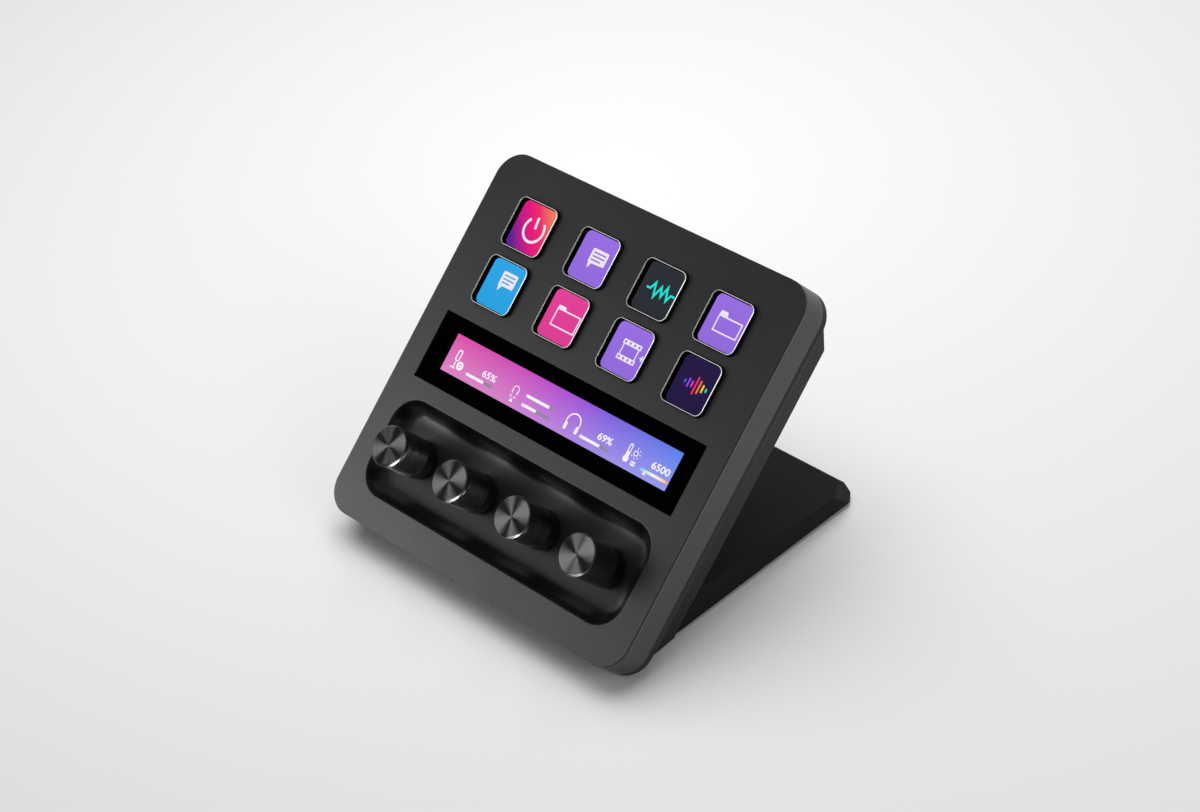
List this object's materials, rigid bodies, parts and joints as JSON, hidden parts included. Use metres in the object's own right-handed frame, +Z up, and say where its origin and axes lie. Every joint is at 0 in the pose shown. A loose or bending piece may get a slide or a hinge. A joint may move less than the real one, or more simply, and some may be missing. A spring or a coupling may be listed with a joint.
{
  "type": "macro keypad with knobs",
  "caption": "Leaning desk keypad with picture keys that press, a lit touch strip, and knurled knobs in a shallow trough that turn and push, on a wedge stand.",
  "frame": {"origin": "centre of the footprint, at the height of the desk under the rubber pads", "axes": "+X to the right along the face's bottom edge, +Y to the back, +Z up; the face leans back 49 degrees from upright and looks along -Y and +Z"},
  "size_m": [0.14, 0.122, 0.1005],
  "materials": {
    "face_plastic": "satin charcoal, very fine grain",
    "frame_plastic": "satin charcoal",
    "shell_plastic": "matt charcoal",
    "stand_plastic": "matt charcoal",
    "chassis_aluminium": "plain sheet and cast bosses",
    "strip_glass": "clear over a black border, polished",
    "gasket_rubber": "black foam",
    "strip_screen": "lit panel, pink to blue",
    "key_screen": "lit panel with a picture under each key",
    "contact_film": "amber film",
    "mat_silicone": "grey silicone",
    "circuit_board": "green solder mask",
    "chip_plastic": "black epoxy",
    "encoder_steel": "plated sheet",
    "flex_film": "amber film",
    "port_steel": "plated shell",
    "ballast_steel": "plain plate",
    "pad_rubber": "black non-slip",
    "screw_steel": "blackened",
    "key_lens": "clear acrylic, polished",
    "key_carrier_plastic": "black",
    "knob_metal": "dark anodised, knurled barrel, cut rim",
    "knob_cap_metal": "dark spun metal",
    "shaft_steel": "ground",
    "plunger_plastic": "white acetal"
  },
  "bodies": {
    "case": {"face_plate": "face_plastic", "side_frame": "frame_plastic", "rear_shell": "shell_plastic", "chassis": "chassis_aluminium", "touch_glass": "strip_glass", "strip_gasket": "gasket_rubber", "strip_display": "strip_screen", "key_display": "key_screen", "contact_sheet": "contact_film", "spring_mat": "mat_silicone", "main_board": "circuit_board", "board_chips": "chip_plastic", "encoder_board": "circuit_board", "encoder_housings": "encoder_steel", "flex_cables": "flex_film", "port_board": "circuit_board", "usb_port": "port_steel", "stand_shell": "stand_plastic", "stand_cover": "stand_plastic", "ballast_plate": "ballast_steel", "stand_pad": "pad_rubber", "front_pad": "pad_rubber", "chassis_screws": "screw_steel", "case_screws": "screw_steel", "board_screws": "screw_steel", "stand_screws": "screw_steel", "cover_screws": "screw_steel"},
    "key_1": {"key_lens_1": "key_lens", "key_carrier_1": "key_carrier_plastic"},
    "key_2": {"key_lens_2": "key_lens", "key_carrier_2": "key_carrier_plastic"},
    "key_3": {"key_lens_3": "key_lens", "key_carrier_3": "key_carrier_plastic"},
    "key_4": {"key_lens_4": "key_lens", "key_carrier_4": "key_carrier_plastic"},
    "key_5": {"key_lens_5": "key_lens", "key_carrier_5": "key_carrier_plastic"},
    "key_6": {"key_lens_6": "key_lens", "key_carrier_6": "key_carrier_plastic"},
    "key_7": {"key_lens_7": "key_lens", "key_carrier_7": "key_carrier_plastic"},
    "key_8": {"key_lens_8": "key_lens", "key_carrier_8": "key_carrier_plastic"},
    "plunger_1": {"push_plunger_1": "plunger_plastic"},
    "knob_1": {"knob_body_1": "knob_metal", "knob_cap_1": "knob_cap_metal", "encoder_shaft_1": "shaft_steel"},
    "plunger_2": {"push_plunger_2": "plunger_plastic"},
    "knob_2": {"knob_body_2": "knob_metal", "knob_cap_2": "knob_cap_metal", "encoder_shaft_2": "shaft_steel"},
    "plunger_3": {"push_plunger_3": "plunger_plastic"},
    "knob_3": {"knob_body_3": "knob_metal", "knob_cap_3": "knob_cap_metal", "encoder_shaft_3": "shaft_steel"},
    "plunger_4": {"push_plunger_4": "plunger_plastic"},
    "knob_4": {"knob_body_4": "knob_metal", "knob_cap_4": "knob_cap_metal", "encoder_shaft_4": "shaft_steel"}
  },
  "joints": [
    {"name": "key_1_press", "type": "slide", "parent": "case", "child": "key_1", "axis": [0, 0.6561, -0.7547], "range_m": [0, 0.0012], "stiffness_N_per_m": 400, "springref_m": -0.0005},
    {"name": "key_2_press", "type": "slide", "parent": "case", "child": "key_2", "axis": [0, 0.6561, -0.7547], "range_m": [0, 0.0012], "stiffness_N_per_m": 400, "springref_m": -0.0005},
    {"name": "key_3_press", "type": "slide", "parent": "case", "child": "key_3", "axis": [0, 0.6561, -0.7547], "range_m": [0, 0.0012], "stiffness_N_per_m": 400, "springref_m": -0.0005},
    {"name": "key_4_press", "type": "slide", "parent": "case", "child": "key_4", "axis": [0, 0.6561, -0.7547], "range_m": [0, 0.0012], "stiffness_N_per_m": 400, "springref_m": -0.0005},
    {"name": "key_5_press", "type": "slide", "parent": "case", "child": "key_5", "axis": [0, 0.6561, -0.7547], "range_m": [0, 0.0012], "stiffness_N_per_m": 400, "springref_m": -0.0005},
    {"name": "key_6_press", "type": "slide", "parent": "case", "child": "key_6", "axis": [0, 0.6561, -0.7547], "range_m": [0, 0.0012], "stiffness_N_per_m": 400, "springref_m": -0.0005},
    {"name": "key_7_press", "type": "slide", "parent": "case", "child": "key_7", "axis": [0, 0.6561, -0.7547], "range_m": [0, 0.0012], "stiffness_N_per_m": 400, "springref_m": -0.0005},
    {"name": "key_8_press", "type": "slide", "parent": "case", "child": "key_8", "axis": [0, 0.6561, -0.7547], "range_m": [0, 0.0012], "stiffness_N_per_m": 400, "springref_m": -0.0005},
    {"name": "knob_1_push", "type": "slide", "parent": "case", "child": "plunger_1", "axis": [0, 0.6561, -0.7547], "range_m": [0, 0.0005], "stiffness_N_per_m": 2000, "springref_m": -0.0005},
    {"name": "knob_1_turn", "type": "hinge", "parent": "plunger_1", "child": "knob_1", "pos_m": [-0.04479, -0.03964, 0.02987], "axis": [0, -0.6561, 0.7547], "continuous": true},
    {"name": "knob_2_push", "type": "slide", "parent": "case", "child": "plunger_2", "axis": [0, 0.6561, -0.7547], "range_m": [0, 0.0005], "stiffness_N_per_m": 2000, "springref_m": -0.0005},
    {"name": "knob_2_turn", "type": "hinge", "parent": "plunger_2", "child": "knob_2", "pos_m": [-0.01493, -0.03964, 0.02987], "axis": [0, -0.6561, 0.7547], "continuous": true},
    {"name": "knob_3_push", "type": "slide", "parent": "case", "child": "plunger_3", "axis": [0, 0.6561, -0.7547], "range_m": [0, 0.0005], "stiffness_N_per_m": 2000, "springref_m": -0.0005},
    {"name": "knob_3_turn", "type": "hinge", "parent": "plunger_3", "child": "knob_3", "pos_m": [0.01493, -0.03964, 0.02987], "axis": [0, -0.6561, 0.7547], "continuous": true},
    {"name": "knob_4_push", "type": "slide", "parent": "case", "child": "plunger_4", "axis": [0, 0.6561, -0.7547], "range_m": [0, 0.0005], "stiffness_N_per_m": 2000, "springref_m": -0.0005},
    {"name": "knob_4_turn", "type": "hinge", "parent": "plunger_4", "child": "knob_4", "pos_m": [0.04479, -0.03964, 0.02987], "axis": [0, -0.6561, 0.7547], "continuous": true}
  ]
}
